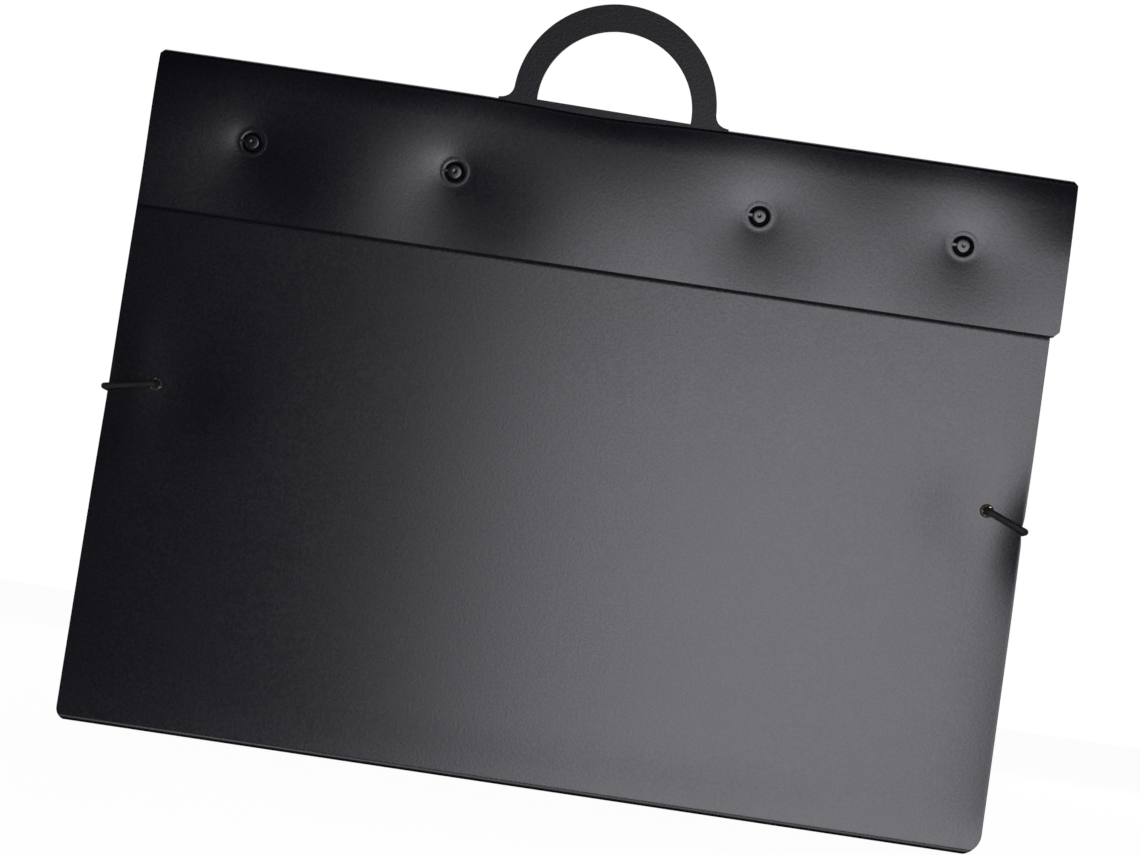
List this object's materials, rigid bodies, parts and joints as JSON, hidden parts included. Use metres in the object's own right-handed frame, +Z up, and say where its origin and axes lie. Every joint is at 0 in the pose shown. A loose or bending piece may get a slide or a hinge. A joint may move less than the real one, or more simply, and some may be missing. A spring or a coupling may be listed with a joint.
{
  "type": "portfolio case",
  "caption": "Large flat sheet-plastic portfolio case with a fold-over flap closed by press studs, a half-round carrying handle and an elastic side cord at each open side.",
  "frame": {"origin": "on the underside of the base panel, midway along the flap's width and midway between the flap's front face and the back panel's rear face", "axes": "+Z up with the case standing on its base, +X to the right as seen from the flap side, the flap faces -Y"},
  "size_m": [0.6545, 0.0316, 0.5495],
  "materials": {
    "sheet": "satin black polypropylene with a fine moulded grain",
    "handle_sheet": "satin black die-cut polypropylene",
    "stud_cap": "polished black",
    "stud_inner": "moulded black",
    "elastic": "braided black elastic",
    "eyelet": "blackened brass, worn bright at the lip",
    "barb": "plated steel"
  },
  "bodies": {
    "rear_shell": {"back_panel": "sheet", "base_panel": "sheet", "eyelet_rear_left": "eyelet", "eyelet_rear_right": "eyelet", "cord_barb_rear_left": "barb", "cord_barb_rear_right": "barb", "elastic_cord_left": "elastic", "elastic_cord_right": "elastic"},
    "flap": {"top_panel": "sheet", "flap": "sheet", "handle": "handle_sheet", "stud_cap_1": "stud_cap", "stud_cap_2": "stud_cap", "stud_cap_3": "stud_cap", "stud_cap_4": "stud_cap", "stud_socket_1": "stud_inner", "stud_socket_2": "stud_inner", "stud_socket_3": "stud_inner", "stud_socket_4": "stud_inner"},
    "front": {"front_panel": "sheet", "stud_post_1": "stud_inner", "stud_post_2": "stud_inner", "stud_post_3": "stud_inner", "stud_post_4": "stud_inner", "stud_washer_1": "stud_inner", "stud_washer_2": "stud_inner", "stud_washer_3": "stud_inner", "stud_washer_4": "stud_inner", "eyelet_front_left": "eyelet", "eyelet_front_right": "eyelet", "cord_barb_front_left": "barb", "cord_barb_front_right": "barb"}
  },
  "joints": [
    {"name": "flap_hinge", "type": "hinge", "parent": "rear_shell", "child": "flap", "pos_m": [0, 0.013, 0.474], "axis": [-1, 0, 0], "range_deg": [0, 180]},
    {"name": "front_panel_hinge", "type": "hinge", "parent": "rear_shell", "child": "front", "pos_m": [0, -0.0053, 0.0006], "axis": [1, 0, 0], "range_deg": [0, 10], "deforming": ["elastic_cord_left", "elastic_cord_right"]}
  ],
  "couplings": [
    {"joint": "front_panel_hinge", "follows": "flap_hinge", "ratio": 0.0555}
  ]
}
